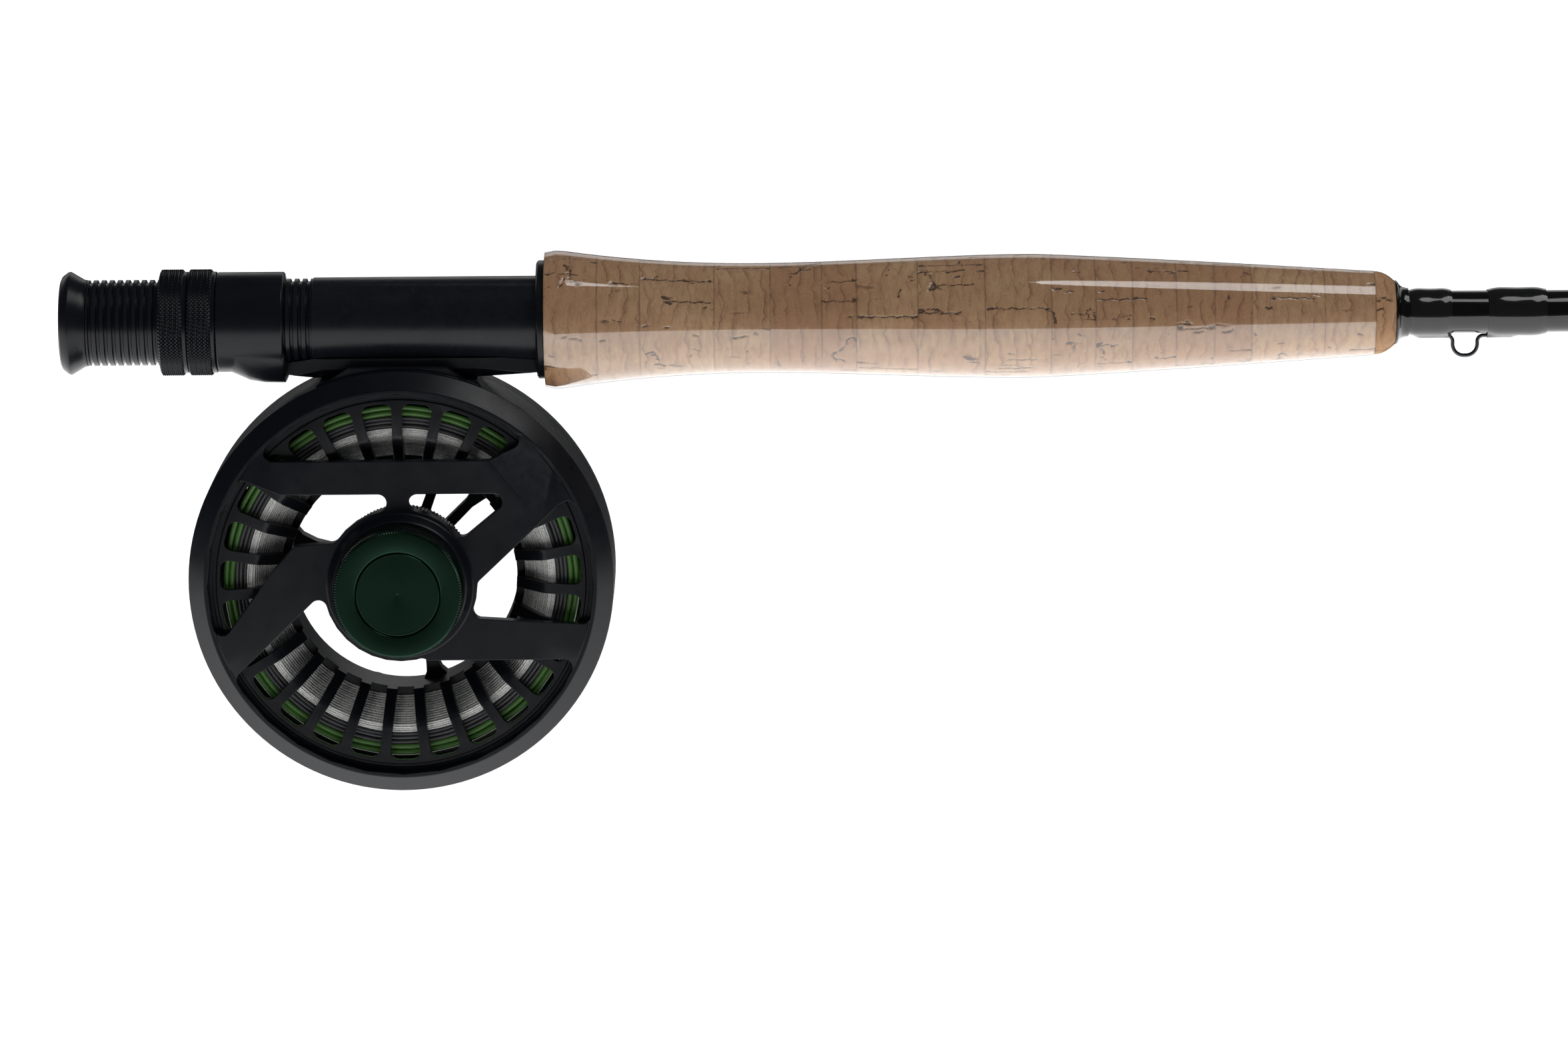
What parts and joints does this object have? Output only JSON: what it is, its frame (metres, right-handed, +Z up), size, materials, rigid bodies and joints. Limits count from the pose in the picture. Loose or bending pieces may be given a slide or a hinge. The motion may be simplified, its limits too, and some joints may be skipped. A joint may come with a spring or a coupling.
{
  "type": "fly rod butt section with reel",
  "caption": "Butt section of a take-down fly rod with cork grip, up-locking reel seat and a large-arbor fly reel with disc drag, wound with line.",
  "frame": {"origin": "on the rod's axis at the butt cap's end face", "axes": "+X along the rod towards the tip, +Z up with the reel hanging below, -Y the reel's drag knob side, +Y its winding handle side"},
  "size_m": [0.65, 0.0519, 0.107],
  "materials": {
    "black_anodised": "satin bead-blasted anodised",
    "green_anodised": "turned and anodised",
    "carbon_blank": "gloss lacquer over graphite",
    "wrap_epoxy": "black thread under clear epoxy",
    "cork": "sanded cork",
    "clear_film": "clear shrink film",
    "rubber": "matt",
    "steel": "ground",
    "dark_steel": "black oxide",
    "brass": "turned",
    "friction": "carbon fibre washer",
    "bush_plastic": "moulded acetal",
    "dark_plastic": "moulded nylon",
    "backing": "braided polyester",
    "grey_line": "coated running line",
    "green_line": "coated fly line"
  },
  "bodies": {
    "rod": {"butt_cap": "black_anodised", "seat_barrel": "black_anodised", "seat_arbors": "bush_plastic", "blank": "carbon_blank", "fixed_hood": "black_anodised", "cork_rings": "cork", "grip_film": "clear_film", "winding_check": "rubber", "butt_wrap": "wrap_epoxy", "keeper_wrap": "wrap_epoxy", "hook_keeper": "dark_steel", "reel_frame": "black_anodised", "reel_foot": "black_anodised", "foot_screws": "dark_steel", "spindle": "steel", "spindle_screws": "dark_steel", "drag_housing": "black_anodised", "housing_cover": "black_anodised", "housing_seal": "rubber", "friction_washers": "friction", "pressure_plate": "steel", "spring_washers": "steel", "detent_ball": "steel", "detent_spring": "steel", "click_pawl": "brass", "click_spring": "steel", "pawl_pin": "steel"},
    "hood": {"sliding_hood": "black_anodised", "hood_liner": "dark_plastic"},
    "front_nut": {"lock_nut_front": "black_anodised"},
    "rear_nut": {"lock_nut_rear": "black_anodised"},
    "knob": {"drag_knob": "green_anodised", "knob_cap": "green_anodised", "knob_stem": "steel"},
    "spool": {"spool": "black_anodised", "drag_rotor": "steel", "drag_discs": "steel", "one_way_clutch": "steel", "spool_bearings": "steel", "click_gear": "brass", "backing": "backing", "running_line": "grey_line", "fly_line": "green_line", "spool_cap": "green_anodised", "counterweight": "steel", "handle_post": "steel"},
    "handle": {"handle_knob": "black_anodised", "handle_bush": "bush_plastic"}
  },
  "joints": [
    {"name": "front_nut_turn", "type": "hinge", "parent": "hood", "child": "front_nut", "pos_m": [0.028, 0, 0], "axis": [-1, 0, 0], "range_deg": [0, 2700]},
    {"name": "hood_slide", "type": "slide", "parent": "rod", "child": "hood", "axis": [-1, 0, 0], "range_m": [0, 0.012]},
    {"name": "rear_nut_turn", "type": "hinge", "parent": "hood", "child": "rear_nut", "pos_m": [0.022, 0, 0], "axis": [-1, 0, 0], "range_deg": [0, 2700]},
    {"name": "drag_turn", "type": "hinge", "parent": "rod", "child": "knob", "pos_m": [0.0672, -0.02, -0.0509], "axis": [0, -1, 0], "range_deg": [-150, 150]},
    {"name": "spool_spin", "type": "hinge", "parent": "rod", "child": "spool", "pos_m": [0.0672, 0, -0.0509], "axis": [0, -1, 0], "continuous": true},
    {"name": "handle_spin", "type": "hinge", "parent": "spool", "child": "handle", "pos_m": [0.05918, 0.018, -0.08084], "axis": [0, -1, 0], "continuous": true}
  ],
  "couplings": [
    {"joint": "hood_slide", "follows": "front_nut_turn", "m_per_rad": 0.00025464},
    {"joint": "rear_nut_turn", "follows": "front_nut_turn", "ratio": 1}
  ]
}
